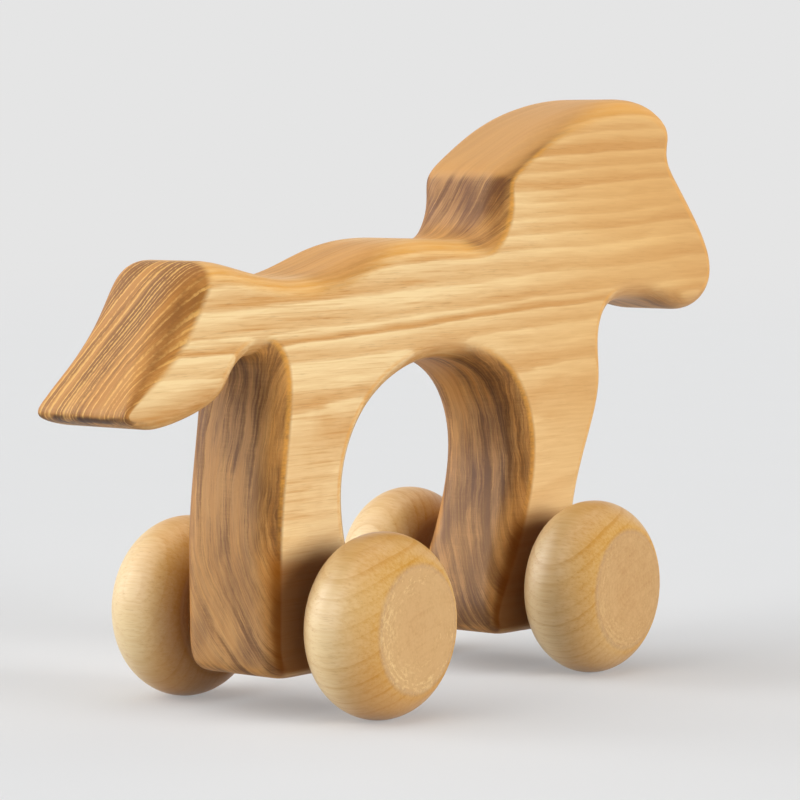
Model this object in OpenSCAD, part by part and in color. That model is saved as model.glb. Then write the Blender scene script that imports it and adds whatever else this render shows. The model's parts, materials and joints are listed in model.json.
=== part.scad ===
// Wooden push-along horse on four turned wheels.
// X points to the nose, Y to the horse's left and Z up. The floor is the plane Z = 0,
// and the origin lies on it under the middle of the body's length.

/* [Body] */
// Length from the tail tip to the muzzle
body_length = 172; // [150:1:200]
// Height from the leg bottoms to the poll
body_height = 94.4; // [84:0.2:110]
// Thickness of the board that the body is sawn from
board_thickness = 18; // [14:0.5:26]
// Rounding of the sawn edges
edge_round = 4.2; // [1:0.1:5]
// Gap between the leg bottoms and the floor
leg_clearance = 6; // [3:0.5:8]

/* [Wheels] */
// Diameter over the tread
wheel_diameter = 30; // [28:0.5:33]
// Width between the two flat faces
wheel_width = 14.8; // [14:0.2:17]
// Diameter of the flat faces
wheel_face_diameter = 20.4; // [19:0.2:22]
// Gap between a leg and a wheel
wheel_gap = 3.5; // [1:0.1:8]
// Depth of the blind axle hole in a wheel
wheel_hole_depth = 10; // [6:0.5:11]

/* [Axles] */
// Diameter of the dowel
axle_diameter = 6; // [4:0.5:8]
// Radial clearance of a dowel that turns in its leg
axle_clearance = 0.08; // [0.02:0.01:0.1]
// Radial room for glue round a dowel in its wheel
glue_gap = 0.05; // [0.02:0.01:0.1]
// Room left at the end of a dowel in its wheel
axle_end_gap = 0.3; // [0.1:0.1:1]
// Chamfer on the ends of a dowel
axle_chamfer = 0.6; // [0.2:0.1:1]

/* [Hidden] */
$fn = 96;

// Overrun of every cut past the face that it leaves
cut_overrun = 1;

// Control points of the horse's side outline, clockwise seen from its right.
// Each is a share of the length from the tail tip, a share of the height from the
// leg bottoms, and the edge rounding there as a share of the usual one.
tail_back_shares = [
    [0.015, 0.452, 0.36], [-0.005, 0.466, 0.18], [0.008, 0.495, 0.45], [0.026, 0.536, 1.25],
    [0.062, 0.616, 1.45], [0.090, 0.703, 1.35], [0.125, 0.718, 1.10]
];
back_shares = [
    [0.187, 0.691, 1], [0.251, 0.672, 1], [0.306, 0.688, 1], [0.378, 0.735, 1],
    [0.460, 0.744, 1], [0.542, 0.727, 1]
];
mane_shares = [
    [0.566, 0.762, 1.20], [0.573, 0.822, 1.30], [0.577, 0.862, 0.75], [0.604, 0.890, 0.95],
    [0.663, 0.952, 1], [0.746, 0.992, 1], [0.838, 1.006, 1]
];
head_shares = [
    [0.892, 0.981, 1], [0.909, 0.934, 1], [0.901, 0.892, 1], [0.923, 0.853, 1],
    [0.964, 0.781, 1], [0.997, 0.712, 1], [1.003, 0.648, 1], [0.985, 0.600, 1],
    [0.945, 0.578, 1], [0.867, 0.613, 1], [0.788, 0.616, 1]
];
front_leg_shares = [
    [0.765, 0.553, 1], [0.778, 0.466, 1], [0.762, 0.381, 1], [0.731, 0.279, 1],
    [0.716, 0.169, 1], [0.719, 0.078, 1], [0.716, 0.010, 0.40], [0.679, -0.001, 1],
    [0.597, 0.004, 1], [0.559, 0.013, 0.30], [0.562, 0.078, 1], [0.594, 0.197, 1],
    [0.616, 0.307, 1], [0.614, 0.404, 1]
];
arch_shares = [
    [0.573, 0.499, 1], [0.475, 0.543, 1], [0.377, 0.483, 1], [0.331, 0.396, 1]
];
rear_leg_shares = [
    [0.318, 0.296, 1], [0.336, 0.176, 1], [0.360, 0.076, 1], [0.359, 0.009, 0.40],
    [0.321, -0.001, 1], [0.242, 0.001, 1], [0.205, 0.009, 0.40], [0.202, 0.080, 1],
    [0.192, 0.222, 1], [0.201, 0.360, 1], [0.211, 0.472, 1]
];
tail_notch_shares = [
    [0.210, 0.533, 1], [0.188, 0.561, 1], [0.157, 0.532, 1], [0.146, 0.483, 1],
    [0.102, 0.456, 1], [0.050, 0.442, 0.90]
];
outline_shares = concat(
    tail_back_shares, back_shares, mane_shares, head_shares,
    front_leg_shares, arch_shares, rear_leg_shares, tail_notch_shares
);
// Places of the two axles along the body's length
rear_axle_share = 0.285;
front_axle_share = 0.648;
// Largest part of half the board that the edge rounding may take, and of an outside
// curve's radius
board_limit_share = 0.9;
round_limit_share = 0.8;

// Points along each stretch between two control points, and steps round an edge
outline_steps = 4;
round_steps = 5;

wheel_radius = wheel_diameter / 2;
wheel_face_radius = wheel_face_diameter / 2;
axle_radius = axle_diameter / 2;
half_board = board_thickness / 2;
half_width = wheel_width / 2;
wheel_y = half_board + wheel_gap + half_width;
axle_half_length = half_board + wheel_gap + wheel_hole_depth - axle_end_gap;
rear_axle_x = (rear_axle_share - 0.5) * body_length;
front_axle_x = (front_axle_share - 0.5) * body_length;

// The tread is one arc through the crown and the rims of both flat faces
tread_rise = wheel_radius - wheel_face_radius;
tread_radius = (tread_rise * tread_rise + half_width * half_width) / (2 * tread_rise);
tread_centre = wheel_radius - tread_radius;

// Point of a closed cubic B-spline, from four neighbouring control points
function spline_point(a, b, c, d, t) =
    (pow(1 - t, 3) * a
    + (3 * pow(t, 3) - 6 * t * t + 4) * b
    + (3 * t + 3 * t * t - 3 * pow(t, 3) + 1) * c
    + pow(t, 3) * d) / 6;

function spline(controls, steps) =
    let (n = len(controls))
    [for (i = [0 : n - 1], k = [0 : steps - 1])
        spline_point(
            controls[(i + n - 1) % n], controls[i],
            controls[(i + 1) % n], controls[(i + 2) % n], k / steps)];

function column(points, i) = [for (p = points) p[i]];

// Stretch a list of values so that it runs from low to low + span
function stretched(values, low, span) =
    let (least = min(values), range = max(values) - least)
    [for (v = values) low + (v - least) / range * span];

raw_outline = spline(outline_shares, outline_steps);
outline_count = len(raw_outline);
outline_x = stretched(column(raw_outline, 0), -body_length / 2, body_length);
outline_z = stretched(column(raw_outline, 1), leg_clearance, body_height);
outline_round = column(raw_outline, 2) * edge_round;
outline = [for (i = [0 : outline_count - 1]) [outline_x[i], outline_z[i]]];

function before(i) = outline[(i + outline_count - 1) % outline_count];
function after(i) = outline[(i + 1) % outline_count];

// Outward normal of the outline at one of its points
function outward(i) =
    let (chord = after(i) - before(i))
    [-chord.y, chord.x] / norm(chord);

// How sharply the outline turns inwards on itself at a point: one over the radius
function turn(i) =
    let (a = outline[i] - before(i), b = after(i) - outline[i])
    2 * (a.y * b.x - a.x * b.y) / (norm(a) * norm(b) * norm(a + b));

// Rounding at a point, held within the board and within the radius of an outside curve
function held_rounding(i) =
    let (wanted = min(outline_round[i], half_board * board_limit_share))
    wanted / max(1, wanted * turn(i) / round_limit_share);

// The least of that at a point and the two beside it, so that the loops cross nowhere
roundings = [
    for (i = [0 : outline_count - 1])
        min([for (k = [i - 1 : i + 1]) held_rounding((k + outline_count) % outline_count)])
];

// One loop of the board's skin: side is -1 on the right and 1 on the left, and the
// angle runs from 0 on the flat flank to 90 on the sawn edge
function skin_loop(side, angle) =
    [for (i = [0 : outline_count - 1])
        let (
            r = roundings[i],
            p = outline[i] - outward(i) * r * (1 - sin(angle)))
        [p.x, side * (half_board - r * (1 - cos(angle))), p.y]];

round_angles = [for (k = [0 : round_steps]) 90 * k / round_steps];
skin_loops = concat(
    [for (k = [0 : round_steps]) skin_loop(-1, round_angles[k])],
    [for (k = [0 : round_steps]) skin_loop(1, round_angles[round_steps - k])]
);
skin_points = [for (loop = skin_loops) each loop];
last_loop = (len(skin_loops) - 1) * outline_count;

// Twice the area of a corner, negative where the outline turns clockwise
function corner_area(a, b, c) = (b.x - a.x) * (c.z - a.z) - (b.z - a.z) * (c.x - a.x);

function in_corner(p, a, b, c) =
    corner_area(a, b, p) <= 0 && corner_area(b, c, p) <= 0 && corner_area(c, a, p) <= 0;

// The corner at place k of a ring of point numbers
function corner(ring, k) =
    let (n = len(ring))
    [ring[(k + n - 1) % n], ring[k], ring[(k + 1) % n]];

// A corner is an ear if it stands outwards and holds no other point of its ring
function is_ear(ring, k) =
    let (
        numbers = corner(ring, k),
        a = skin_points[numbers[0]],
        b = skin_points[numbers[1]],
        c = skin_points[numbers[2]])
    corner_area(a, b, c) < 0
    && len([for (i = ring)
        if (len(search(i, numbers)) == 0 && in_corner(skin_points[i], a, b, c)) i]) == 0;

function first_ear(ring, k = 0) = is_ear(ring, k) ? k : first_ear(ring, k + 1);

// Triangles of a flat flank, cut off its ring ear by ear
function flank_triangles(ring) =
    len(ring) == 3 ? [ring] :
    let (k = first_ear(ring))
    concat([corner(ring, k)], flank_triangles([for (i = [0 : len(ring) - 1]) if (i != k) ring[i]]));

right_flank = flank_triangles([for (i = [0 : outline_count - 1]) i]);
left_flank = [for (t = right_flank) [last_loop + t[2], last_loop + t[1], last_loop + t[0]]];
skin_faces = [
    for (j = [0 : len(skin_loops) - 2], i = [0 : outline_count - 1])
        let (
            near = j * outline_count,
            far = near + outline_count,
            next = (i + 1) % outline_count)
        each [
            [near + i, far + i, far + next],
            [near + i, far + next, near + next]
        ]
];

module horse_body() {
    color("burlywood")
    difference() {
        polyhedron(points = skin_points, faces = concat(right_flank, left_flank, skin_faces));
        axle_bore(rear_axle_x);
        axle_bore(front_axle_x);
    }
}

module axle_bore(x) {
    bore_length = board_thickness + 2 * cut_overrun;
    across(x)
    cylinder(r = axle_radius + axle_clearance, h = bore_length, center = true);
}

module axle(x) {
    profile = [
        [0, -axle_half_length],
        [axle_radius - axle_chamfer, -axle_half_length],
        [axle_radius, -axle_half_length + axle_chamfer],
        [axle_radius, axle_half_length - axle_chamfer],
        [axle_radius - axle_chamfer, axle_half_length],
        [0, axle_half_length]
    ];
    color("wheat")
    across(x)
    rotate_extrude()
    polygon(profile);
}

// A wheel at an axle's place, on the left (side 1) or the right (side -1)
module wheel(x, side) {
    color("navajowhite")
    translate([0, side * wheel_y, 0])
    across(x)
    difference() {
        rotate_extrude()
        wheel_section();
        wheel_hole(side);
    }
}

module wheel_section() {
    translate([0, -half_width])
    square([tread_centre, wheel_width]);
    intersection() {
        translate([tread_centre, 0])
        circle(r = tread_radius);
        translate([0, -half_width])
        square([wheel_radius + cut_overrun, wheel_width]);
    }
}

// Blind hole in the face that looks to the leg; local Z is the left of the horse
module wheel_hole(side) {
    length = wheel_hole_depth + cut_overrun;
    middle = half_width + cut_overrun - length / 2;
    translate([0, 0, -side * middle])
    cylinder(r = axle_radius + glue_gap, h = length, center = true);
}

// Turn a shape's Z axis to the horse's left and bring it to an axle's place
module across(x) {
    translate([x, 0, wheel_radius])
    rotate([-90, 0, 0])
    children();
}

horse_body();
axle(rear_axle_x);  // rear_axle
axle(front_axle_x);  // front_axle
wheel(rear_axle_x, 1);  // rear_left_wheel
wheel(rear_axle_x, -1);  // rear_right_wheel
wheel(front_axle_x, 1);  // front_left_wheel
wheel(front_axle_x, -1);  // front_right_wheel
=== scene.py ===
"""Looks of a small wooden push-along horse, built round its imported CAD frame.

The horse is sawn from one board, and its edges are rounded over. Four turned wheels are glued in pairs
on dowels that roll in the legs. Every piece is modelled where its CAD node stands, in metres.
"""

import json
import math
from types import SimpleNamespace

import bmesh
import bpy
from bpy.props import FloatProperty, FloatVectorProperty, IntProperty, PointerProperty
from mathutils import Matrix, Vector


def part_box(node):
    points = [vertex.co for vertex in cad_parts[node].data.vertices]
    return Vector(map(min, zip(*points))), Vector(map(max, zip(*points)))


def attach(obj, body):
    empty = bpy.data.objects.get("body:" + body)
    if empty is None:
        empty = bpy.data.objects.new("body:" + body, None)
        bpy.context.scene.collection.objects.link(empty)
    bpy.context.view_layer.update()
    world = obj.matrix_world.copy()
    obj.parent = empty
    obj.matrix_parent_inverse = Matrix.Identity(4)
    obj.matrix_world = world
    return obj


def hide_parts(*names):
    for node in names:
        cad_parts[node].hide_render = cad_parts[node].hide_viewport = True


bl_info = {
    "name": "Wooden push-along horse",
    "version": (1, 0, 0),
    "blender": (4, 5, 0),
    "location": "3D View > Sidebar > Horse",
    "description": "Models and finishes a wooden toy horse on wheels round its CAD frame",
    "category": "Add Mesh",
}

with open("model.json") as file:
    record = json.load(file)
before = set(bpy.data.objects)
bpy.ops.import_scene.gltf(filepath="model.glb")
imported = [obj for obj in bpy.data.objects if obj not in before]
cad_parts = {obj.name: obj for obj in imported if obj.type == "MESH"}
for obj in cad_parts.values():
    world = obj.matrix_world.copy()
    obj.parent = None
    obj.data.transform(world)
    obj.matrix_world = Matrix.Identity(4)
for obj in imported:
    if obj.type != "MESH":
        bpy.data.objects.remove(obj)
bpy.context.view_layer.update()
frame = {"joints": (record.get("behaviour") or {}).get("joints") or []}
BODY_LOW, BODY_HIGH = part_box("horse_body")
DOWEL_LOW, DOWEL_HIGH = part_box("rear_axle")
WHEEL_LOW, WHEEL_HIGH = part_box("rear_left_wheel")
AXLES = {joint["name"]: Vector(joint["pos_m"]) for joint in frame["joints"]}
REAR, FRONT = AXLES["rear_axle_turn"], AXLES["front_axle_turn"]
MM = 0.001

# The sawn outline, clockwise seen from the horse's right. Each row is a control point of a closed curve:
# its share of the body's length from the tail tip, its share of the height from the feet, and the share
# of the full edge rounding that the corner there has room for.
OUTLINE = (
    # tail and its back
    (0.015, 0.452, 0.36), (-0.005, 0.466, 0.18), (0.008, 0.495, 0.45), (0.026, 0.536, 1.25),
    (0.062, 0.616, 1.45), (0.090, 0.703, 1.35), (0.125, 0.718, 1.10),
    # croup and back
    (0.187, 0.691, 1), (0.251, 0.672, 1), (0.306, 0.688, 1), (0.378, 0.735, 1), (0.460, 0.744, 1),
    (0.542, 0.727, 1),
    # mane
    (0.566, 0.762, 1.20), (0.573, 0.822, 1.30), (0.577, 0.862, 0.75), (0.604, 0.890, 0.95),
    (0.663, 0.952, 1), (0.746, 0.992, 1), (0.838, 1.006, 1),
    # forehead, muzzle and chin
    (0.892, 0.981, 1), (0.909, 0.934, 1), (0.901, 0.892, 1), (0.923, 0.853, 1), (0.964, 0.781, 1),
    (0.997, 0.712, 1), (1.003, 0.648, 1), (0.985, 0.600, 1), (0.945, 0.578, 1), (0.867, 0.613, 1),
    (0.788, 0.616, 1),
    # chest and front leg
    (0.765, 0.553, 1), (0.778, 0.466, 1), (0.762, 0.381, 1), (0.731, 0.279, 1), (0.716, 0.169, 1),
    (0.719, 0.078, 1), (0.716, 0.010, 0.40), (0.679, -0.001, 1), (0.597, 0.004, 1),
    (0.559, 0.013, 0.30), (0.562, 0.078, 1), (0.594, 0.197, 1), (0.616, 0.307, 1), (0.614, 0.404, 1),
    # arch under the belly
    (0.573, 0.499, 1), (0.475, 0.543, 1), (0.377, 0.483, 1), (0.331, 0.396, 1),
    # rear leg
    (0.318, 0.296, 1), (0.336, 0.176, 1), (0.360, 0.076, 1), (0.359, 0.009, 0.40),
    (0.321, -0.001, 1), (0.242, 0.001, 1), (0.205, 0.009, 0.40), (0.202, 0.080, 1), (0.192, 0.222, 1),
    (0.201, 0.360, 1), (0.211, 0.472, 1),
    # notch under the tail
    (0.210, 0.533, 1), (0.188, 0.561, 1), (0.157, 0.532, 1), (0.146, 0.483, 1), (0.102, 0.456, 1),
    (0.050, 0.442, 0.90),
)

# Depths at which the board's year rings begin, in millimetres. The depth is counted through the board.
RINGS = (
    -10.0, -8.6, -7.2, -6.5, -5.6, -4.7, -3.5, -2.7, -0.9, 1.1, 2.4, 3.8, 5.2, 6.3, 7.8, 9.1,
    10.9, 12.4, 13.9, 15.4, 16.6, 18.2, 19.5, 21.2, 22.6, 24.2, 25.7, 27.2, 28.6, 30.3, 32.0,
)

# The grain climbs a little towards the head. Past two heights in millimetres the rings lean over.
GRAIN_SLOPE = 0.045
BACK_BEND_Z, BACK_LEAN = 55, 0.26
FOOT_BEND_Z, FOOT_LEAN = 25, 0.375
BEND_SOFTNESS = 100

# Where the board's finishes and its painted shade come in, in millimetres along it (X), across it (Y) or up
# it (Z). A pair runs from the place where a finish or shade is not yet seen to the place where it is full.
# A row of four also ends it.
HEAD_X, MUZZLE_X, BACK_X, TAIL_X = (-30, 75), (58, 84), (-60, -30), (-50, -70)
FRONT_LEG_X = (-10, 5)
BARREL_Z, LEGS_Z, FEET_Z, PORES_Z = (34, 58), (56, 36), (48, 22), (40, 62)
TAIL_ROOT_Z, UNDER_MANE_Z, CROWN_Z, CREST_Z = (52, 68), (72, 62), (82, 92), (84, 98)
# Painted shade in the notch under the tail.
NOTCH_SHADE_X, NOTCH_SHADE_Z = (-64, -60, -49, -45), (44, 57)
STAIN_X, STAIN_Z, STAIN_FOOT_Z = (2, 8, 16, 24), (70, 75), (82, 76)
RIM_Z = (22, 40)
# Painted shade along the tail's lower edge: the heights where it is not yet seen and where it is full, and
# how its line slopes along the board.
TAIL_EDGE_SHADE_Z, TAIL_EDGE_SHADE_SLOPE = (67.8, 62.8), 0.17
BURNT_X = (-78, -85)
CRACK_X, CRACK_Y, CRACK_Z = (-84.2, -85.2), (-7, -5, 0.5, 2.5), 49.6
# Painted shadow of the wheels on the legs' sides: the heights where it is not yet seen and where it is
# full, and its reach from the axles.
SHADE_Z, SHADE_REACH = (29, 23.5), (22, 17)

# Width of a year in the wheels' wood, and where the floor's paper runs out, both in millimetres.
WHEEL_RING = 1.7
PAPER_END = (700, 2600)

# Most that a rounding takes of the board's thickness, and of the radius of a bend in the outline.
BOARD_SHARE, BEND_SHARE = 0.45, 0.8

# Steps round the floor, a dowel or bore and a wheel, across a tread and across its softened edge.
FLOOR_SIDES, DOWEL_SIDES, WHEEL_SIDES, TREAD_STEPS, ARRIS_STEPS = 96, 64, 144, 40, 5

# Width of the narrow faces that part the flat sides from the roundings, and the gap that a seam closes.
SIDE_RIM, SEAM = 0.1 * MM, 0.001 * MM

# Angles in degrees past which an edge stays sharp.
BODY_SHARP, DOWEL_SHARP, WHEEL_SHARP = 32, 30, 9

# Directions to the four quarters of the large window that lights the horse from its left, behind it, the
# height that parts the lower quarters from the upper ones, and the directions to the other two lights.
WINDOW = ((-0.93, 0.36, 0.2), (-0.93, 0.36, 0.84), (-0.42, 0.91, 0.2), (-0.42, 0.91, 0.84))
WINDOW_MIDDLE = 0.5
FILL_FROM, TOP_FROM = (0.2, -1.0, 0.25), (0, 0, 1)

# How wide the lights are seen from the horse, in degrees.
WINDOW_SPREAD, FILL_SPREAD, TOP_SPREAD = 40, 34, 65

# Width of the camera's film in millimetres, and the nearest and farthest that it sees, in metres.
FILM, NEAREST, FARTHEST = 36, 0.01, 50


def paint(red, green, blue):
    """A colour as it is seen on a screen, from 0 to 255, as the linear colour that a shader takes."""
    return tuple(
        c / 3294.6 if c <= 10 else ((c / 255 + 0.055) / 1.055) ** 2.4 for c in (red, green, blue)
    )


def length(label, words, default):
    """A size in metres that a user may change."""
    return FloatProperty(
        name=label, description=words, default=default, min=0, precision=5,
        unit="LENGTH", subtype="DISTANCE",
    )


def strength(label, words, default):
    """The strength of a light that a user may change."""
    return FloatProperty(name=label, description=words, default=default, min=0)


def colour(label, words, *screen):
    """A colour that a user may change."""
    return FloatVectorProperty(
        name=label, description=words, default=paint(*screen), min=0, max=1, size=3, subtype="COLOR"
    )


class HorseSizes(bpy.types.PropertyGroup):
    """Sizes of the horse, its dowels and its wheels."""

    body_length: length("Body length", "From the tail tip to the muzzle", BODY_HIGH.x - BODY_LOW.x)
    body_height: length("Body height", "From the feet to the top of the mane", BODY_HIGH.z - BODY_LOW.z)
    board: length("Board thickness", "Thickness of the sawn board", BODY_HIGH.y - BODY_LOW.y)
    clearance: length("Leg clearance", "Height of the feet above the floor", BODY_LOW.z)
    edge_round: length("Edge rounding", "Radius of the rounded edges of the board", 4.2 * MM)
    bore: length("Leg bore", "Diameter of the holes in the legs", 6.16 * MM)
    rear_axle: length("Rear axle", "Distance of the rear axle behind the middle", -REAR.x)
    front_axle: length("Front axle", "Distance of the front axle before the middle", FRONT.x)
    dowel: length("Dowel diameter", "Diameter of the axle dowels", 6 * MM)
    dowel_length: length("Dowel length", "Length of the axle dowels", DOWEL_HIGH.y - DOWEL_LOW.y)
    dowel_chamfer: length("Dowel chamfer", "Chamfer on the ends of the dowels", 0.6 * MM)
    wheel: length("Wheel diameter", "Diameter of a wheel at its crown", 2 * REAR.z)
    wheel_width: length("Wheel width", "Width between a wheel's flat faces", WHEEL_HIGH.y - WHEEL_LOW.y)
    wheel_face: length("Wheel face", "Diameter of a wheel's flat faces", 20.4 * MM)
    wheel_inside: length("Wheel inside", "From the board's middle to a wheel's inner face", WHEEL_LOW.y)
    wheel_hole: length("Wheel hole", "Diameter of the blind hole for the dowel", 6.1 * MM)
    hole_depth: length("Hole depth", "Depth of the blind hole", 10 * MM)
    wheel_arris: length("Wheel arris", "Width of the softened edge round a wheel's face", 0.9 * MM)
    outline_steps: IntProperty(
        name="Outline steps", description="Points drawn for each control point of the outline",
        default=8, min=4, max=12,
    )
    round_steps: IntProperty(
        name="Rounding steps", description="Faces across the rounding of an edge",
        default=9, min=4, max=16,
    )


class HorseColours(bpy.types.PropertyGroup):
    """Colours of the woods."""

    flank_pale: colour("Flank, pale", "Late wood on the board's sides", 249, 218, 162)
    flank_band: colour("Flank, band", "Early wood on the board's sides", 212, 157, 91)
    flank_warm: colour("Flank, warm", "Deeper tint of the head", 236, 186, 112)
    fibre: colour("Fibre", "Fine dark fibres and pores", 158, 104, 54)
    end_pale: colour("End grain, pale", "Pale lines where the board is sawn across", 244, 194, 112)
    end_mid: colour("End grain, slant", "End grain that is cut on the slant", 214, 158, 88)
    end_deep: colour("End grain", "End grain that is cut square", 200, 152, 96)
    end_rust: colour("End grain, rust", "Orange-brown streaks where the board is sawn across", 182, 118, 50)
    end_dark: colour("End grain, dark", "Dark streaks where the board is sawn across", 104, 66, 32)
    end_plum: colour("End grain, plum", "Dull dark patches where the board is sawn across", 114, 78, 54)
    stain: colour("Stain", "Dark patch on the back of the mane", 112, 70, 42)
    # Also the colour of the painted shade on downward-facing roundings and along the tail's lower edge.
    edge: colour("Rounded edge", "Oil-darkened wood on the rounded edges", 196, 138, 70)
    amber: colour("Amber line", "Line where a rounded edge meets the board's side", 232, 166, 70)
    back: colour("Sawn back", "Wood along the sawn back and crown", 218, 168, 102)
    crack: colour("Crack", "The small crack at the tail tip", 66, 40, 28)
    # Painted shadow of the wheels on the legs' sides, and painted shade on the wheels' inner faces.
    shade: colour("Shade", "Oil-dark wood of the legs round the axles", 134, 74, 4)
    # Pale wood of the treads, and the painted sheen on their side towards the window.
    wheel_pale_and_sheen: colour("Wheel, pale", "Pale wood of the treads", 238, 211, 160)
    wheel_band: colour("Wheel, band", "Honey-coloured wood of the treads", 204, 147, 54)
    # Painted shade on the treads' undersides.
    wheel_underside_shade: colour("Wheel, low", "Warm wood of the treads' undersides", 206, 136, 50)
    wheel_fibre: colour("Wheel, fibre", "Dark fibres of the wheels", 168, 112, 50)
    wheel_end: colour("Wheel face", "End grain on the wheels' faces", 212, 170, 116)
    wheel_speck: colour("Wheel speck", "Bright flecks in the wheels' faces", 240, 206, 146)
    wheel_rim: colour("Wheel arris", "Line round a wheel's face", 184, 146, 112)
    dowel_pale: colour("Dowel", "Pale wood of the dowels", 228, 196, 142)
    dowel_band: colour("Dowel, band", "Darker grain of the dowels", 196, 152, 100)


class StageSettings(bpy.types.PropertyGroup):
    """Floor, light and camera."""

    floor: colour("Floor", "Colour of the floor", 231, 232, 233)
    backdrop: colour("Backdrop", "Colour behind the floor", 229, 229, 229)
    bounce: colour("Bounce", "Colour of the light that the floor throws back on the horse", 196, 196, 196)
    paper_glow: FloatProperty(
        name="Paper glow", description="Share of the floor's own brightness, which lightens shadows",
        default=0.35, min=0, max=1, subtype="FACTOR",
    )
    floor_radius: length("Floor radius", "Radius of the floor", 9.0)
    ambient: strength("Ambient light", "Strength of the light from all round", 0.05)
    key: strength("Window, low", "Strength of each lower quarter of the window behind its left side", 1.0)
    key_high: strength("Window, high", "Strength of each upper quarter of the window", 0.76)
    top: strength("Top light", "Strength of the broad light from above", 0.9)
    fill: strength("Fill light", "Strength of the low light on its right side", 2.4)
    camera_place: FloatVectorProperty(
        name="Camera place", description="Where the camera stands", size=3,
        subtype="TRANSLATION", unit="LENGTH", default=(-0.446772, -0.319804, 0.086593),
    )
    camera_turn: FloatVectorProperty(
        name="Camera turn", description="How the camera is turned", size=3,
        subtype="EULER", unit="ROTATION", default=(1.500756, -0.005, -0.944209),
    )
    lens: FloatProperty(
        name="Lens", description="Focal length in millimetres", default=144.9, min=10, unit="CAMERA",
    )


class Wire:
    """A socket in a material's node tree, on which sums are written as Python expressions."""

    def __init__(self, tree, socket=None):
        self.tree = tree
        self.socket = socket

    def add(self, kind, settings=None, inputs=None, output=0):
        """Adds a node, with its settings first and then the values or wires of its sockets."""
        node = self.tree.nodes.new("ShaderNode" + kind)
        for name, value in (settings or {}).items():
            if name == "stops":
                elements = node.color_ramp.elements
                while len(elements) < len(value):
                    elements.new(1)
                for element, (position, shade) in zip(elements, value):
                    element.position = position
                    element.color = shade
            else:
                setattr(node, name, value)
        for name, value in (inputs or {}).items():
            if isinstance(value, Wire):
                self.tree.links.new(value.socket, node.inputs[name])
            else:
                node.inputs[name].default_value = value
        return Wire(self.tree, node.outputs[output] if len(node.outputs) else None)

    def out(self, output):
        """Another output of the node that this wire comes from."""
        return Wire(self.tree, self.socket.node.outputs[output])

    def sum(self, operation, *values):
        """A sum of one or two values, each a number or a wire."""
        return self.add("Math", {"operation": operation}, dict(enumerate(values)))

    def __add__(self, other):
        return self.sum("ADD", self, other)

    def __radd__(self, other):
        return self.sum("ADD", other, self)

    def __sub__(self, other):
        return self.sum("SUBTRACT", self, other)

    def __rsub__(self, other):
        return self.sum("SUBTRACT", other, self)

    def __mul__(self, other):
        return self.sum("MULTIPLY", self, other)

    def __rmul__(self, other):
        return self.sum("MULTIPLY", other, self)

    def __truediv__(self, other):
        return self.sum("DIVIDE", self, other)

    def __pow__(self, other):
        return self.sum("POWER", self, other)

    def __abs__(self):
        return self.sum("ABSOLUTE", self)

    def step(self, low, high):
        """A soft step from 0 at low to 1 at high, or the other way where low is the greater."""
        if low > high:
            return 1 - self.step(high, low)
        return self.add(
            "MapRange", {"interpolation_type": "SMOOTHSTEP"}, {0: self, 1: low, 2: high, 3: 0.0, 4: 1.0}
        )

    def between(self, start, full, past, end):
        """A soft step up from start to full, and down again from past to end."""
        return self.step(start, full) * self.step(end, past)

    def mix(self, first, second):
        """The first colour where this wire is 0 and the second where it is 1."""
        shades = [s if isinstance(s, Wire) else (*s, 1) for s in (first, second)]
        return self.add("Mix", {"data_type": "RGBA"}, {0: self, 6: shades[0], 7: shades[1]}, 2)

    def noise(self, stretch, detail=2.0, roughness=0.5, shift=(0, 0, 0)):
        """Noise about nought over this place, with so many waves to the millimetre along each axis."""
        place = self.add("VectorMath", {"operation": "MULTIPLY_ADD"}, {0: self, 1: stretch, 2: shift})
        inputs = {"Vector": place, "Scale": 1, "Detail": detail, "Roughness": roughness}
        return place.add("TexNoise", None, inputs) - 0.5


def start_material(name):
    """A material with an empty node tree, the place in millimetres and the surface's own direction."""
    material = bpy.data.materials.new(name)
    material.use_nodes = True
    material.node_tree.nodes.clear()
    tree = Wire(material.node_tree)
    spot = tree.add("TexCoord", None, None, "Object")
    facing = spot.out("Normal")
    place = spot.add("VectorMath", {"operation": "SCALE"}, {0: spot, 3: 1 / MM})
    return material, place, facing


def split(wire):
    """The three parts of a vector."""
    first = wire.add("SeparateXYZ", None, {0: wire})
    return first, first.out(1), first.out(2)


def finish_material(base, roughness, height, depth, **gloss):
    """Joins colour, roughness, relief and gloss to the surface. The relief's depth is in metres."""
    bump = base.add("Bump", None, {"Height": height, "Strength": 1.0, "Distance": depth})
    inputs = {"Base Color": base, "Roughness": roughness, "Normal": bump, **gloss}
    surface = base.add("BsdfPrincipled", None, inputs)
    surface.add("OutputMaterial", None, {"Surface": surface})


def bend(height):
    """Twice a height well above nought and almost nought below it, with a soft turn between."""
    return height + (height * height + BEND_SOFTNESS) ** 0.5


def year_rings(ring, shift=0):
    """How far a place is through its year, from 0 to 1, and a chance number that the year keeps."""
    year = ring.sum("FLOOR", ring)
    chance = ring.add("TexWhiteNoise", {"noise_dimensions": "1D"}, {"W": year + shift})
    return ring - year, chance


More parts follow.
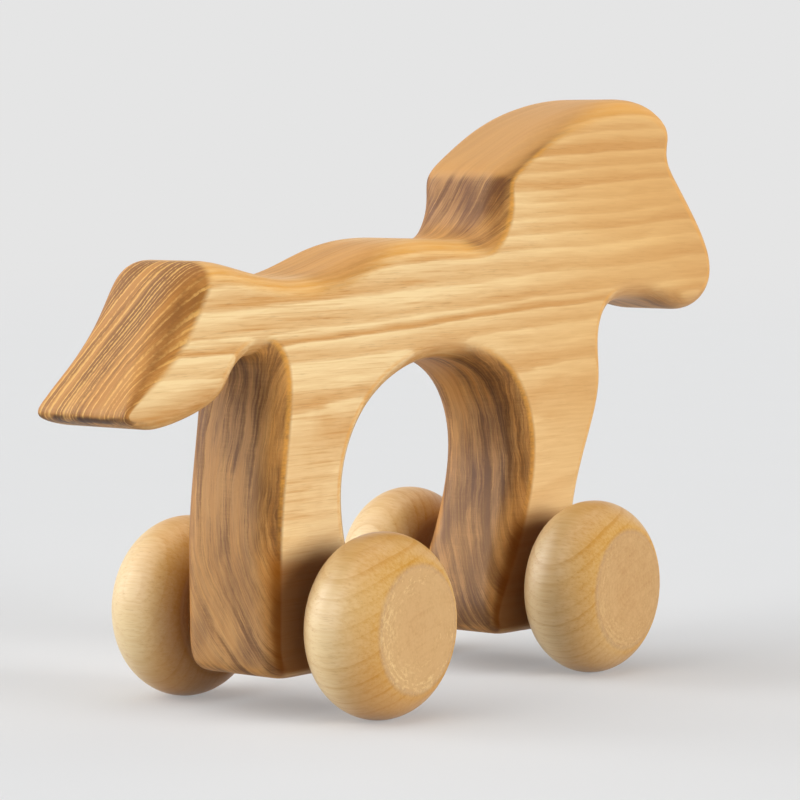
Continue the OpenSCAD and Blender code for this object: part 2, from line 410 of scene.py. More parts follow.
def board_grain(place, facing):
    """What all finishes of the board share: places, directions, rings, streaks, fibres and zones."""
    b = SimpleNamespace(place=place)
    b.x, b.y, b.z = split(place)
    b.across, b.aside, b.up = split(facing)

    # The rings stand upright in the legs and lean over towards the back and the feet.
    drift = place.noise((0.013, 0.035, 0.035), 1)
    b.ripple = place.noise((0.035, 0.14, 0.14), 2, shift=(7, 3, 1))
    ragged = place.noise((0.07, 0.9, 0.9), 3, 0.6, (2, 4, 6))
    rise = b.z - GRAIN_SLOPE * b.x
    lean = BACK_LEAN * bend(rise - BACK_BEND_Z) + FOOT_LEAN * bend(FOOT_BEND_Z - rise)
    deep = b.y + lean + 1.3 * drift + 0.6 * b.ripple + 0.35 * ragged
    low, high, count = RINGS[0], RINGS[-1], len(RINGS) - 1
    stops = [((r - low) / (high - low), (i / count, i / count, i / count, 1)) for i, r in enumerate(RINGS)]
    ring = deep.add("ValToRGB", {"stops": stops}, {0: (deep - low) / (high - low)}) * count
    b.share, b.luck = year_rings(ring)
    b.part, b.chance = year_rings(ring * 2, 50)
    soft, crisp = b.share.between(0, 0.38, 0.38, 1.0), b.share.between(0, 0.10, 0.10, 0.5)
    b.early = (0.65 * soft + 0.45 * crisp) * (0.2 + 0.8 * b.luck)

    # Streaks follow the rings. Fibres, hairs and pores run along the board.
    wave = place.noise((0.05, 0.10, 0.085), 2, 0.5, (8, 8, 4))
    course = deep.add("CombineXYZ", None, {0: deep + 2.2 * wave, 1: rise, 2: b.x})
    b.vein = course.noise((1.7, 0.06, 0.035), 4, 0.65)
    b.broad = course.noise((0.36, 0.03, 0.018), 2, 0.5, (4, 7, 2))
    b.rusty = course.noise((1.1, 0.05, 0.03), 3, 0.6, (9, 1, 5))
    b.fine = course.noise((6.5, 0.2, 0.12), 2, 0.6, (3, 3, 7))
    b.fibre = place.noise((0.11, 2.4, 2.4), 3, 0.6)
    b.hair = place.noise((0.26, 5.5, 5.5), 2, 0.55, (3, 9, 5))
    b.cloud = place.noise((0.016, 0.05, 0.05), 2, 0.5, (11, 2, 8))
    b.spots = place.noise((0.07, 0.16, 0.06), 3, 0.6, (5, 5, 2))
    b.pores = (b.hair + 0.10 * b.early).step(0.10, 0.28)

    # Zones: head, tail, faces sawn square across the board, legs, smooth tops, painted shade in the notch,
    # and roundings.
    b.head = b.x.step(*HEAD_X)
    b.tail = b.x.step(*TAIL_X)
    b.steep = abs(b.across).step(0.72, 0.98)
    b.leg = b.steep * (1 - b.tail)
    b.smooth = b.up.step(0.2, 0.65) * b.x.step(*BACK_X)
    # Painted shade in the notch under the tail, darkest towards its top.
    b.nook = b.z.step(*NOTCH_SHADE_Z) * b.x.between(*NOTCH_SHADE_X)
    b.ends = b.across.step(-0.02, -0.22) + b.across.step(0.3, 0.7)
    b.side = b.aside * b.aside
    b.turning = 4 * b.side * (1 - b.side)
    b.near_flank = abs(b.aside)

    # How much of the darker early wood shows on the sides.
    bold = (0.3 + 0.8 * b.z.step(*BARREL_Z)) * (1 - 0.4 * b.head)
    b.band = (
        0.10 + 1.1 * bold * b.early + (0.8 - 0.5 * b.head) * b.vein + 0.9 * b.broad + 0.6 * b.fibre
        + 0.4 * b.cloud + 0.22 * b.head * b.head + 0.2 * b.x.step(*MUZZLE_X)
        - 0.12 * b.z.step(*LEGS_Z) * (1 - b.head)
    )
    return b


def flank_finish(b, colours):
    """The board's sides: soft bands and open pores, pale at the rear and warm at the head."""
    pale = (0.8 * b.head + 0.6 * b.cloud).mix(colours.flank_pale, colours.flank_warm)
    thread = b.place.noise((0.05, 2.6, 2.6), 3, 0.65, (1, 8, 3)).step(0.0, 0.22) * (1 - b.head)
    flank = (b.band + 0.4 * thread).mix(pale, colours.flank_band)
    pitted = b.pores * (0.16 + 0.24 * b.early) * (1 - 0.8 * b.head) * (0.35 + 0.65 * b.z.step(*PORES_Z))
    return pitted.mix(flank, colours.fibre)


def sawn_finish(b, colours):
    """The faces sawn across the board: end grain with rusty, dark and plum streaks and pale lines."""
    beads = b.place.noise((1.3, 2.4, 1.3), 2, 0.6, (6, 1, 4))
    marks = b.place.noise((0.3, 0.22, 3.2), 2, 0.6, (1, 5, 8))
    sawn = b.steep.mix(colours.end_mid, colours.end_deep)
    rust = (0.32 + 1.8 * b.rusty) * (1 - 0.6 * b.smooth) * (1 - 0.45 * b.leg)
    sawn = rust.mix(sawn, colours.end_rust)

    # Dark streaks, with more of them at the tail's root, painted shade in the notch and low on the front
    # leg's sawn faces, and less dark low on the rear leg; then plum and saw marks.
    dark = (
        0.30 + 2.0 * b.vein + (3.0 + 1.8 * b.tail) * b.broad + b.spots + 0.3 * (b.luck - 0.5)
        + 0.7 * b.fine + 0.4 * marks + (0.2 + 0.34 * b.z.step(*TAIL_ROOT_Z) + 1.2 * b.fine) * b.tail
        # Painted shade low on the front leg's sawn faces; the rear leg's foot is less dark.
        + b.steep * b.z.step(*FEET_Z) * (0.66 * b.x.step(*FRONT_LEG_X) - 0.38)
    )
    dark = dark + 0.5 * b.leg * (dark - 0.4)
    dark = (dark + 0.35 * b.nook).step(-0.15, 1.15) * (1 - 0.8 * b.smooth) * (1 - 0.15 * b.leg)
    sawn = dark.mix(sawn, colours.end_dark)
    sawn = (0.38 * b.tail).mix(sawn, colours.end_rust)
    plum = (2.4 * b.spots + 1.2 * b.fine + 0.2) * b.leg * b.z.step(*UNDER_MANE_Z)
    sawn = plum.mix(sawn, colours.end_plum)
    sawn = (0.22 * b.leg * marks.step(0.08, 0.34)).mix(sawn, colours.end_deep)

    # A pale line where each year begins, and thinner ones between.
    bright = b.share.between(0, 0.10, 0.16, 0.42) * (0.15 + 0.85 * b.luck)
    thin = b.part.between(0, 0.15, 0.25, 0.5) * b.chance
    lines = (bright + (0.5 + 0.4 * b.tail) * thin) * (0.7 + 2.2 * beads + 1.5 * b.spots)
    lines = lines.step(0.05, 0.75) * (0.12 + 0.58 * b.tail) * (1 - 0.8 * b.smooth)
    sawn = lines.mix(sawn, colours.end_pale)

    # Rust and dark patches on the roundings, a plain crown, and a dark brink along the tail.
    sawn = (b.turning * (0.15 + 0.2 * b.tail + 0.8 * b.fibre)).mix(sawn, colours.end_rust)
    patches = 0.32 + 0.2 * b.nook - 0.34 * b.tail + 2.0 * b.spots + 1.4 * b.fine
    sawn = (b.turning * patches * b.up.step(0.4, 0.0)).mix(sawn, colours.end_dark)
    sawn = (0.55 * b.smooth * b.z.step(*CROWN_Z)).mix(sawn, colours.end_deep)
    brink = b.near_flank.between(0.4, 0.74, 0.76, 0.97) * b.tail
    sawn = (brink * (0.4 + 0.8 * b.fibre)).mix(sawn, colours.end_rust)
    return (brink * (0.26 + 1.6 * b.spots + 0.8 * b.fibre)).mix(sawn, colours.end_dark)


def edge_finish(b, colours, flank, sawn):
    """Joins the sides to the back, the underside and the sawn ends over the rounded edges."""
    oiled = 0.05 + 0.4 * b.band + 0.15 * b.pores + 0.55 * b.z.step(*CREST_Z)
    top = 0.8 * b.near_flank.step(0.9, 0.2)
    wood = top.mix(flank, oiled.mix(colours.back, colours.edge))
    wood = (b.turning * b.up.step(0, 0.5) * (0.7 + b.fibre)).mix(wood, colours.amber)
    # Painted shade where the roundings and the underside face down.
    under = b.side.step(0.99, 0.7) * b.up.step(-0.05, -0.4)
    wood = (under * (0.55 + b.fibre)).mix(wood, colours.edge)
    return b.ends.mix(wood, sawn)


def board_marks(b, colours, wood, painted_wheel_shadow):
    """The mane's stain, an amber line where the roundings meet the sides, painted shade along the tail's
    lower edge, the burnt tail tip, the painted shadow of the wheels on the legs, and the tail tip's crack.
    """
    stain = b.z.step(*STAIN_Z) * b.x.between(*STAIN_X) * b.side.step(0.9, 0.5)
    stain = stain * (b.up - 0.6 * b.z.step(*STAIN_FOOT_Z)).step(0.5, 0.22)
    wood = (stain * (0.5 + 1.2 * b.spots + 1.2 * b.vein + b.fine)).mix(wood, colours.stain)
    rim = b.near_flank.between(0.91, 0.975, 0.985, 0.9995) * abs(b.across).step(0.03, 0.14)
    rim = rim * b.z.step(*RIM_Z) * (1 - 0.75 * b.tail)
    wood = (rim * (0.5 + 1.2 * b.fibre)).mix(wood, colours.amber)
    # Painted shade along the lower edge of the tail's sides.
    tail_edge_shade = (b.z - TAIL_EDGE_SHADE_SLOPE * b.x).step(*TAIL_EDGE_SHADE_Z) * b.tail * b.near_flank.step(0.5, 0.9)
    wood = (tail_edge_shade * (0.75 + b.fibre)).mix(wood, colours.edge)
    char = b.place.noise((0.3, 0.35, 0.3), 3, 0.6, (3, 2, 9))
    burnt = b.x.step(*BURNT_X) * b.up.step(0.05, -0.5)
    wood = (burnt * (0.32 + 3.4 * char)).mix(wood, colours.crack)
    # Painted shadow of the wheels on the legs' sides.
    wood = (painted_wheel_shadow * 0.84).mix(wood, colours.shade)
    crack = abs(b.z - CRACK_Z - 0.5 * b.place.noise((0.3, 0.5, 0.5), 2)).step(0.75, 0.2)
    crack = crack * b.x.step(*CRACK_X) * b.y.between(*CRACK_Y)
    return (crack * 0.85).mix(wood, colours.crack)


def horse_wood(sizes, colours):
    """Flat-sawn wood with end grain where the board is cut across, and painted shadow of the wheels on the
    legs' sides close to the axles.
    """
    material, place, facing = start_material("horse_wood")
    b = board_grain(place, facing)
    rear, fore, hub = -sizes.rear_axle / MM, sizes.front_axle / MM, sizes.wheel / 2 / MM
    along = abs(b.x - (rear + fore) / 2) - (fore - rear) / 2
    reach = (along * along + (b.z - hub) ** 2) ** 0.5
    # Painted shadow that the wheels cast on the legs' sides, below a height and close to the axles.
    painted_wheel_shadow = b.z.step(*SHADE_Z) * reach.step(*SHADE_REACH) * b.near_flank.step(0.6, 0.95)
    wood = edge_finish(b, colours, flank_finish(b, colours), sawn_finish(b, colours))
    wood = board_marks(b, colours, wood, painted_wheel_shadow)

    roughness = 0.46 + 0.10 * b.band - 0.1 * b.cloud + 0.12 * b.pores + 0.10 * b.ends + 0.4 * painted_wheel_shadow
    height = 0.5 * b.fibre - 0.5 * b.hair.step(0.10, 0.24) + 0.25 * b.ripple
    finish_material(
        wood, roughness, height, 0.04 * MM,
        **{"Specular IOR Level": 0.32, "Coat Weight": 0.12 - 0.12 * painted_wheel_shadow, "Coat Roughness": 0.3}
    )
    return material


def wheel_wood(sizes, colours):
    """Pale wood turned with its grain along the axle, so that the flat faces are end grain."""
    material, place, facing = start_material("wheel_wood")
    x, y, z = split(place)
    _, aside, up = split(facing)
    rear, fore = -sizes.rear_axle / MM, sizes.front_axle / MM

    # Which wheel it is, and the place measured from that wheel's own axle.
    front = x.sum("GREATER_THAN", x, (rear + fore) / 2)
    left = y.sum("GREATER_THAN", y, 0.0)
    along = x - rear - (fore - rear) * front
    rise = z - sizes.wheel / 2 / MM
    reach = (along * along + rise * rise) ** 0.5
    angle = rise.sum("ARCTAN2", rise, 0 - along)

    # Each wheel is cut beside the heart of its tree, at another place.
    drift = place.noise((0.06, 0.02, 0.06), 2)
    heart_x = 9 + 3 * front + 12 * left
    heart_z = 22 * left + 6 * front - 30
    radius = ((along - heart_x) ** 2 + (rise - heart_z) ** 2) ** 0.5 + 1.6 * drift
    share, luck = year_rings(radius / WHEEL_RING, 40 * front + 20 * left)
    line = share.between(0.55, 0.95, 0.95, 1.0) * (0.25 + 0.75 * luck)
    fibre = place.noise((2.4, 0.10, 2.4), 3, 0.6)
    hair = place.noise((5.5, 0.22, 5.5), 2, 0.55, (2, 6, 4))
    cloud = place.noise((0.07, 0.05, 0.07), 2, 0.5, (4, 4, 9))

    # The tread goes from pale to honey-coloured round the wheel: painted sheen on the side towards the
    # window, painted shade on the side away from it.
    # Below, the tread is painted warmer and darker, as painted shade.
    turn = 0.81 * (y + 20 - 40 * left) - 0.59 * along
    pale = turn.step(1, 11)
    honey = 0.72 - 0.64 * pale + 0.004 * rise + front * left * (0.26 * pale - 0.16)
    tread = (honey + 0.2 * line + 0.6 * fibre + 0.6 * cloud).mix(colours.wheel_pale_and_sheen, colours.wheel_band)
    tread = ((hair + 0.5 * fibre).step(0.05, 0.3) * 0.28 + 0.09 * line).mix(tread, colours.wheel_fibre)
    # Painted shade: the undersides away from the window are darker and warmer.
    warm = up.step(0.35, -0.75) * (0.4 + 0.1 * left - 0.15 * front) * turn.step(8, 2)
    tread = warm.mix(tread, colours.wheel_underside_shade)

    # The flat faces show tool marks and torn end grain.
    turned = reach.sum("SINE", reach * 7.5 + 3 * drift)
    polar = place.add("CombineXYZ", None, {0: reach, 1: 8 * angle, 2: y})
    fleck = polar.noise((2.1, 0.8, 0.5), 3, 0.65, (8, 1, 3))
    mottle = place.noise((0.5, 0.2, 0.5), 3, 0.65, (2, 9, 6))
    crumb = place.noise((2.2, 0.5, 2.2), 3, 0.65, (5, 7, 1))
    torn = 0.7 * fleck + 0.6 * crumb + 0.03 * turned + 0.5 * mottle - 0.007 * (along + rise)
    torn = torn.step(-0.02, 0.24) * reach.step(3.0, 9.0)
    disc = 0.05 + 0.1 * line + 0.5 * fibre + 0.7 * mottle + 0.02 * turned + 0.12 * front
    disc = disc.mix(colours.wheel_end, colours.wheel_fibre)
    disc = (0.2 * left).mix(disc, colours.wheel_pale_and_sheen)
    disc = (torn * (0.75 - 0.42 * front)).mix(disc, colours.wheel_speck)

    flat, cut = abs(aside).step(0.94, 0.995), abs(aside).step(0.76, 0.92)
    wood = flat.mix(tread, disc)
    # Painted shade on the inner faces and treads that face the leg.
    inner = ((2 * left - 1) * aside).step(-0.35, -0.95)
    wood = (inner * 0.55).mix(wood, colours.shade)
    rim = abs(reach - sizes.wheel_face / 2 / MM).step(0.8, 0.1) * abs(aside).step(0.88, 0.95)
    wood = (rim * (0.3 + fibre)).mix(wood, colours.wheel_rim)

    roughness = 0.42 + 0.22 * cut + 0.15 * fibre
    height = 0.3 * fibre + 0.3 * hair + flat * (0.15 * turned + 0.9 * torn)
    finish_material(
        wood, roughness, height, 0.05 * MM,
        **{"Specular IOR Level": 0.5, "Coat Weight": 0.26 - 0.26 * cut, "Coat Roughness": 0.3}
    )
    return material


def dowel_wood(colours):
    """Plain dowel with its grain along the axle."""
    material, place, _ = start_material("dowel_wood")
    fibre = place.noise((1.8, 0.06, 1.8), 3, 0.6)
    hair = place.noise((5.0, 0.2, 5.0), 2, 0.55, (1, 3, 7))
    wood = (0.5 + 1.6 * fibre + 0.6 * hair).step(0.1, 0.95).mix(colours.dowel_pale, colours.dowel_band)
    finish_material(wood, 0.6 + 0.2 * fibre, fibre + 0.5 * hair, 0.06 * MM, **{"Specular IOR Level": 0.4})
    return material


def floor_paint(settings):
    """Smooth pale paper that keeps the shadows and runs out into the backdrop."""
    material, place, _ = start_material("floor_paper")
    tint = place.noise((0.02, 0.02, 0.02), 3)
    shade = (0.5 + tint).mix(settings.floor, tuple(0.985 * c for c in settings.floor))
    paper = shade.add(
        "BsdfPrincipled", None,
        {"Base Color": shade, "Roughness": 0.85 + 0.1 * tint, "Specular IOR Level": 0.0},
    )
    glow = shade.add("Emission", None, {0: (*settings.backdrop, 1), 1: 1.0})
    far = shade.add("VectorMath", {"operation": "LENGTH"}, {0: place}, "Value").step(*PAPER_END)
    glowing = settings.paper_glow + (1 - settings.paper_glow) * far
    lit = shade.add("MixShader", None, {0: glowing, 1: paper, 2: glow})
    dull = shade.add("BsdfDiffuse", None, {0: (*settings.bounce, 1)})
    seen = shade.add("LightPath", None, None, "Is Camera Ray")
    seen = seen.sum("MAXIMUM", seen, seen.out("Is Glossy Ray"))
    both = shade.add("MixShader", None, {0: seen, 1: dull, 2: lit})
    both.add("OutputMaterial", None, {"Surface": both})
    return material


def deselect():
    """Leaves object mode with nothing selected, because an operator acts on all that is selected."""
    if bpy.context.object and bpy.context.object.mode != "OBJECT":
        bpy.ops.object.mode_set(mode="OBJECT")
    bpy.ops.object.select_all(action="DESELECT")


def draw_line(name, points):
    """A new piece in edit mode: one open line, drawn by extruding a corner from point to point."""
    deselect()
    bpy.ops.mesh.primitive_plane_add(size=MM, location=points[0])
    piece = bpy.context.object
    piece.name = piece.data.name = name
    bpy.ops.object.transform_apply(location=True, rotation=True, scale=True)
    bpy.ops.object.mode_set(mode="EDIT")
    bpy.ops.mesh.select_mode(type="VERT")
    bpy.ops.mesh.select_all(action="SELECT")
    bpy.ops.mesh.merge(type="CENTER")
    for before, after in zip(points, points[1:]):
        bpy.ops.mesh.extrude_region_move(TRANSFORM_OT_translate={"value": Vector(after) - Vector(before)})
    return piece


def end_edit(angle):
    """Points the faces outwards and smooths all but the edges sharper than an angle in degrees."""
    bpy.ops.mesh.select_all(action="SELECT")
    bpy.ops.mesh.normals_make_consistent(inside=False)
    bpy.ops.object.mode_set(mode="OBJECT")
    bpy.ops.object.shade_smooth_by_angle(angle=math.radians(angle))


def place_piece(piece, node, body, material):
    """Gives a finished piece its wood, and lets it stand for its CAD node."""
    piece.data.materials.clear()
    piece.data.materials.append(material)
    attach(piece, body)
    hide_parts(node)


def outline_loop(sizes):
    """The sawn outline as rows of x, z, outward x, outward z and rounding, in metres."""
    # A smooth closed curve, with so many steps for each control point.
    count, steps, rows = len(OUTLINE), sizes.outline_steps, []
    for i in range(count):
        a, b, c, d = (OUTLINE[(i + k) % count] for k in (-1, 0, 1, 2))
        for t in (k / steps for k in range(steps)):
            weights = ((1 - t) ** 3, 3 * t**3 - 6 * t * t + 4, 3 * t + 3 * t * t - 3 * t**3 + 1, t**3)
            rows.append([sum(w * p[k] for w, p in zip(weights, (a, b, c, d))) / 6 for k in range(3)])
    # Stretched to the body's length and height.
    spans = ((0, sizes.body_length, -sizes.body_length / 2), (1, sizes.body_height, sizes.clearance))
    for k, span, start in spans:
        low, high = min(r[k] for r in rows), max(r[k] for r in rows)
        for r in rows:
            r[k] = start + span * (r[k] - low) / (high - low)
    # A rounding is held back where the outline bends too tightly for it.
    total, held, outward = len(rows), [], []
    for i, (x, z, part) in enumerate(rows):
        before, here, after = Vector(rows[i - 1][:2]), Vector((x, z)), Vector(rows[(i + 1) % total][:2])
        chord = (after - before).normalized()
        outward.append((-chord.y, chord.x))
        p, q = here - before, after - here
        turn = 2 * (p.y * q.x - p.x * q.y) / (p.length * q.length * (p + q).length)
        wanted = min(sizes.edge_round * part, BOARD_SHARE * sizes.board)
        held.append(wanted / max(1, wanted * turn / BEND_SHARE))
    # Neighbours share the least rounding, which is then evened out.
    near = range(-(steps // 2), steps // 2 + 1)
    rounding = [min(held[(i + k) % total] for k in near) for i in range(total)]
    blur = range(-2, 3)
    rounding = [sum(rounding[(i + k) % total] for k in blur) / len(blur) for i in range(total)]
    return [(*rows[i][:2], *outward[i], rounding[i]) for i in range(total)]


class HORSE_OT_body(bpy.types.Operator):
    """Saws the horse from its board, rounds the edges and bores the legs"""

    bl_idname = "horse.body"
    bl_label = "Horse body"
    bl_options = {"REGISTER", "UNDO"}

    def execute(self, context):
        sizes = context.scene.horse_sizes
        loop = outline_loop(sizes)
        half, steps = sizes.board / 2, sizes.round_steps

        def ring(side, angle):
            """The skin's points at an angle round the edge: 0 on the flank, 90 degrees on the sawn edge."""
            back, down = 1 - math.sin(angle), 1 - math.cos(angle)
            return [
                Vector((x - u * r * back, side * (half - r * down), z - v * r * back))
                for x, z, u, v, r in loop
            ]

        angles = [math.radians(90 * k / steps) for k in range(steps + 1)]
        rings = [ring(-1, a) for a in angles] + [ring(1, a) for a in reversed(angles)]
        # The near side is drawn as a line and closed to a face. Each point keeps its place in the loop.
        piece = draw_line("horse_body_wood", rings[0])
        mesh = bmesh.from_edit_mesh(piece.data)
        station = mesh.verts.layers.int.new("station")
        mesh.verts.ensure_lookup_table()
        for vert in mesh.verts:
            vert[station] = min(range(len(loop)), key=lambda i: (rings[0][i] - vert.co).length_squared)
            vert.select_set(vert[station] in (0, len(loop) - 1))
        mesh.select_flush_mode()
        bmesh.update_edit_mesh(piece.data)
        bpy.ops.mesh.edge_face_add()
        bpy.ops.mesh.select_all(action="SELECT")
        bpy.ops.mesh.edge_face_add()
        # The face is drawn out ring by ring, over both roundings, to the far side.
        for points in rings[1:]:
            bpy.ops.mesh.extrude_region_move(TRANSFORM_OT_translate={"value": (0, 0, 0)})
            mesh = bmesh.from_edit_mesh(piece.data)
            station = mesh.verts.layers.int["station"]
            for vert in mesh.verts:
                if vert.select:
                    vert.co = points[vert[station]]
            bmesh.update_edit_mesh(piece.data)
        # A narrow rim keeps the shading of the flat sides clear of the roundings.
        bpy.ops.mesh.select_mode(type="FACE")
        mesh = bmesh.from_edit_mesh(piece.data)
        for face in mesh.faces:
            face.select_set(len(face.verts) == len(loop))
        if sum(face.select for face in mesh.faces) != 2:
            raise RuntimeError("the board's two sides were not closed")
        bmesh.update_edit_mesh(piece.data)
        bpy.ops.mesh.inset(thickness=SIDE_RIM, use_individual=True)
        bpy.ops.mesh.select_all(action="SELECT")
        bpy.ops.mesh.normals_make_consistent(inside=False)
        deselect()
        # One bore through each leg.
        for middle in (-sizes.rear_axle, sizes.front_axle):
            bpy.ops.mesh.primitive_cylinder_add(
                vertices=DOWEL_SIDES, radius=sizes.bore / 2, depth=2 * sizes.board,
                location=(middle, 0, sizes.wheel / 2), rotation=(math.pi / 2, 0, 0),
            )
            drill = context.object
            deselect()
            piece.select_set(True)
            context.view_layer.objects.active = piece
            cut = piece.modifiers.new("leg bore", "BOOLEAN")
            cut.operation, cut.solver, cut.object = "DIFFERENCE", "EXACT", drill
            bpy.ops.object.modifier_apply(modifier=cut.name)
            bpy.data.objects.remove(drill)
        bpy.ops.object.mode_set(mode="EDIT")
        end_edit(BODY_SHARP)
        piece.data.attributes.remove(piece.data.attributes["station"])
        wood = horse_wood(sizes, context.scene.horse_colours)
        place_piece(piece, "horse_body", "horse", wood)
        return {"FINISHED"}


class HORSE_OT_dowels(bpy.types.Operator):
    """Cuts the two axle dowels and chamfers their ends"""

    bl_idname = "horse.dowels"
    bl_label = "Axle dowels"
    bl_options = {"REGISTER", "UNDO"}

    def execute(self, context):
        sizes = context.scene.horse_sizes
        wood = dowel_wood(context.scene.horse_colours)
        deselect()
        bpy.ops.mesh.primitive_cylinder_add(
            vertices=DOWEL_SIDES, radius=sizes.dowel / 2, depth=sizes.dowel_length,
            location=(-sizes.rear_axle, 0, sizes.wheel / 2), rotation=(math.pi / 2, 0, 0),
        )
        rear = context.object
        rear.name = rear.data.name = "rear_axle_dowel"
        bpy.ops.object.transform_apply(location=True, rotation=True, scale=True)
        bpy.ops.object.mode_set(mode="EDIT")
        bpy.ops.mesh.select_mode(type="EDGE")
        mesh = bmesh.from_edit_mesh(rear.data)
        for edge in mesh.edges:
            edge.select_set(any(len(face.verts) > 4 for face in edge.link_faces))
        bmesh.update_edit_mesh(rear.data)
        bpy.ops.mesh.bevel(offset=sizes.dowel_chamfer, segments=1)
        end_edit(DOWEL_SHARP)
        bpy.ops.object.duplicate(linked=False)
        front = context.object
        front.name = front.data.name = "front_axle_dowel"
        bpy.ops.transform.translate(value=(sizes.rear_axle + sizes.front_axle, 0, 0))
        bpy.ops.object.transform_apply(location=True, rotation=True, scale=True)
        place_piece(rear, "rear_axle", "rear_wheels", wood)
        place_piece(front, "front_axle", "front_wheels", wood)
        return {"FINISHED"}


class HORSE_OT_wheels(bpy.types.Operator):
    """Turns one wheel and copies it to the four places"""

    bl_idname = "horse.wheels"
    bl_label = "Turned wheels"
    bl_options = {"REGISTER", "UNDO"}

    def execute(self, context):
        sizes = context.scene.horse_sizes
        wood = wheel_wood(sizes, context.scene.horse_colours)
        # The tread is part of a circle, and a short soft curve takes it into each flat face.
        crown, face, half = sizes.wheel / 2, sizes.wheel_face / 2, sizes.wheel_width / 2
        rise = crown - face
        bulge = (rise * rise + half * half) / (2 * rise)
        pivot, lean = crown - bulge, math.asin(half / bulge)
        hole, floor = sizes.wheel_hole / 2, sizes.hole_depth - half
        arris = sizes.wheel_arris
        edge = lean - arris / bulge
        start, end = (face - arris, half), (pivot + bulge * math.cos(edge), bulge * math.sin(edge))
        soft = []
        for t in (k / ARRIS_STEPS for k in range(ARRIS_STEPS + 1)):
            weights = zip(((1 - t) ** 2, 2 * t * (1 - t), t * t), (start, (face, half), end))
            soft.append(tuple(sum(c) for c in zip(*((w * r, w * y) for w, (r, y) in weights))))
        angles = [edge * (2 * k / TREAD_STEPS - 1) for k in range(1, TREAD_STEPS)]
        tread = [(pivot + bulge * math.cos(a), bulge * math.sin(a)) for a in angles]
        # The profile runs from the bottom of the blind hole round to the middle of the outer face.
        profile = [(0, floor), (hole, floor), (hole, -half), ((hole + face) / 2, -half)]
        profile += [(r, -y) for r, y in soft] + tread + soft[::-1] + [(face / 2, half), (0, half)]
        middle = Vector((-sizes.rear_axle, sizes.wheel_inside + half, sizes.wheel / 2))
        model = draw_line("rear_left_wheel_turned", [middle + Vector((0, y, r)) for r, y in profile])
        bpy.ops.mesh.select_all(action="SELECT")
        bpy.ops.mesh.spin(steps=WHEEL_SIDES, angle=math.tau, center=middle, axis=(0, 1, 0))
        bpy.ops.mesh.select_all(action="SELECT")
        bpy.ops.mesh.remove_doubles(threshold=SEAM)
        end_edit(WHEEL_SHARP)
        along = sizes.rear_axle + sizes.front_axle
        copies = {
            "rear_right_wheel": (0, True),
            "front_left_wheel": (along, False),
            "front_right_wheel": (along, True),
        }
        for node, (forward, right) in copies.items():
            deselect()
            model.select_set(True)
            context.view_layer.objects.active = model
            bpy.ops.object.duplicate(linked=False)
            wheel = context.object
            wheel.name = wheel.data.name = node + "_turned"
            if right:
                bpy.ops.transform.mirror(
                    constraint_axis=(False, True, False), orient_type="GLOBAL", center_override=(0, 0, 0)
                )
            bpy.ops.transform.translate(value=(forward, 0, 0))
            bpy.ops.object.transform_apply(location=True, rotation=True, scale=True)
            bpy.ops.object.mode_set(mode="EDIT")
            end_edit(WHEEL_SHARP)
        for node in ("rear_left_wheel", *copies):
            body = "front_wheels" if node.startswith("front") else "rear_wheels"
            place_piece(bpy.data.objects[node + "_turned"], node, body, wood)
        return {"FINISHED"}


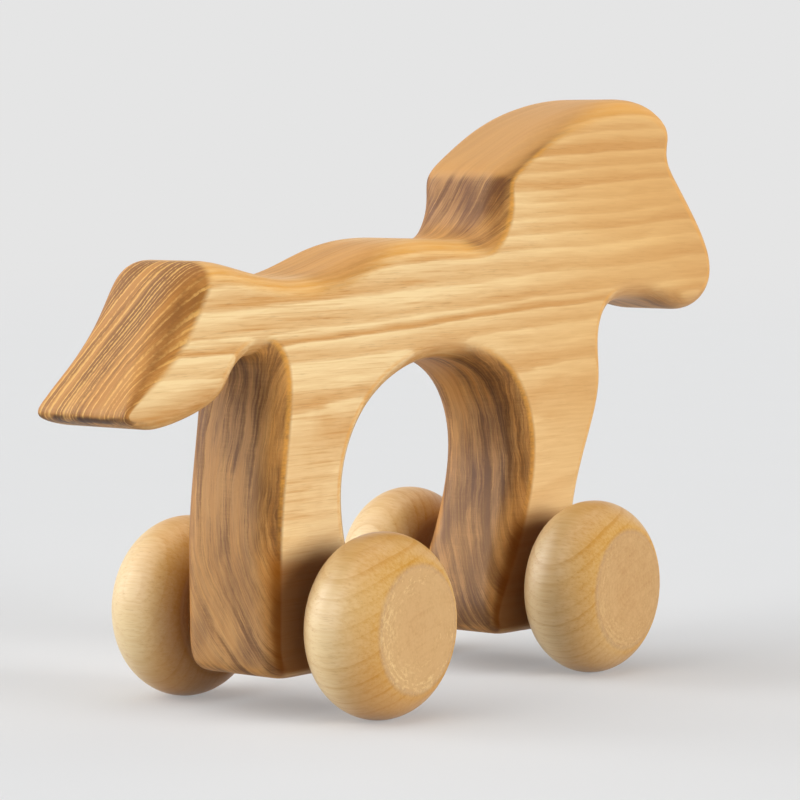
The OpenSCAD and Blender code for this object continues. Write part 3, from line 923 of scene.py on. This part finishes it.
class HORSE_OT_stage(bpy.types.Operator):
    """Lays the pale floor, and sets the soft light and the camera"""

    bl_idname = "horse.stage"
    bl_label = "Floor, light and camera"
    bl_options = {"REGISTER", "UNDO"}

    def lamp(self, context, name, energy, spread, place, shine=True):
        """A far light as wide as a large soft box, which lights floor and horse evenly."""
        bpy.ops.object.light_add(type="SUN", location=place)
        lamp = context.object
        lamp.name = lamp.data.name = name
        lamp.data.energy, lamp.data.angle = energy, math.radians(spread)
        lamp.visible_glossy = shine
        lamp.rotation_euler = (-Vector(place)).to_track_quat("-Z", "Y").to_euler()

    def execute(self, context):
        scene, settings = context.scene, context.scene.horse_stage
        deselect()
        bpy.ops.mesh.primitive_circle_add(
            vertices=FLOOR_SIDES, radius=settings.floor_radius, fill_type="NGON"
        )
        floor = context.object
        floor.name = floor.data.name = "floor"
        bpy.ops.object.mode_set(mode="EDIT")
        bpy.ops.mesh.inset(thickness=settings.floor_radius * 0.9)
        bpy.ops.object.mode_set(mode="OBJECT")
        floor.data.materials.append(floor_paint(settings))

        world = bpy.data.worlds.new("studio")
        scene.world = world
        world.use_nodes = True
        world.node_tree.nodes.clear()
        tree = Wire(world.node_tree)
        seen = tree.add("LightPath", None, None, "Is Camera Ray")
        through, mirrored = seen.out("Is Transmission Ray"), seen.out("Is Glossy Ray")
        direct = seen.sum("MAXIMUM", seen.sum("MAXIMUM", seen, through), mirrored)
        light = tree.add("Background", None, {0: (1, 1, 1, 1), 1: settings.ambient})
        drop = tree.add("Background", None, {0: (*settings.backdrop, 1), 1: 1.0})
        both = tree.add("MixShader", None, {0: direct, 1: light, 2: drop})
        both.add("OutputWorld", None, {"Surface": both})

        for number, place in enumerate(WINDOW):
            energy = settings.key if place[2] < WINDOW_MIDDLE else settings.key_high
            self.lamp(context, f"window light {number}", energy, WINDOW_SPREAD, place)
        self.lamp(context, "fill light", settings.fill, FILL_SPREAD, FILL_FROM, False)
        self.lamp(context, "top light", settings.top, TOP_SPREAD, TOP_FROM)

        bpy.ops.object.camera_add(location=settings.camera_place, rotation=settings.camera_turn)
        camera = context.object
        camera.name = camera.data.name = "photo camera"
        camera.data.lens, camera.data.sensor_width = settings.lens, FILM
        camera.data.clip_start, camera.data.clip_end = NEAREST, FARTHEST
        scene.camera = camera
        scene.view_settings.view_transform = "Standard"
        return {"FINISHED"}


class HORSE_PT_panel(bpy.types.Panel):
    """Lists the steps that make the horse"""

    bl_idname = "HORSE_PT_panel"
    bl_label = "Push-along horse"
    bl_space_type = "VIEW_3D"
    bl_region_type = "UI"
    bl_category = "Horse"

    def draw(self, context):
        for step in (HORSE_OT_body, HORSE_OT_dowels, HORSE_OT_wheels, HORSE_OT_stage):
            self.layout.operator(step.bl_idname)
        for group in (context.scene.horse_sizes, context.scene.horse_colours, context.scene.horse_stage):
            box = self.layout.box()
            for name in type(group).__annotations__:
                box.prop(group, name)


CLASSES = (
    HorseSizes, HorseColours, StageSettings,
    HORSE_OT_body, HORSE_OT_dowels, HORSE_OT_wheels, HORSE_OT_stage, HORSE_PT_panel,
)


def register():
    for item in CLASSES:
        bpy.utils.register_class(item)
    bpy.types.Scene.horse_sizes = PointerProperty(type=HorseSizes)
    bpy.types.Scene.horse_colours = PointerProperty(type=HorseColours)
    bpy.types.Scene.horse_stage = PointerProperty(type=StageSettings)


def unregister():
    del bpy.types.Scene.horse_stage
    del bpy.types.Scene.horse_colours
    del bpy.types.Scene.horse_sizes
    for item in reversed(CLASSES):
        bpy.utils.unregister_class(item)


def main():
    register()
    bpy.ops.horse.body()
    bpy.ops.horse.dowels()
    bpy.ops.horse.wheels()
    bpy.ops.horse.stage()


if __name__ == "__main__":
    main()
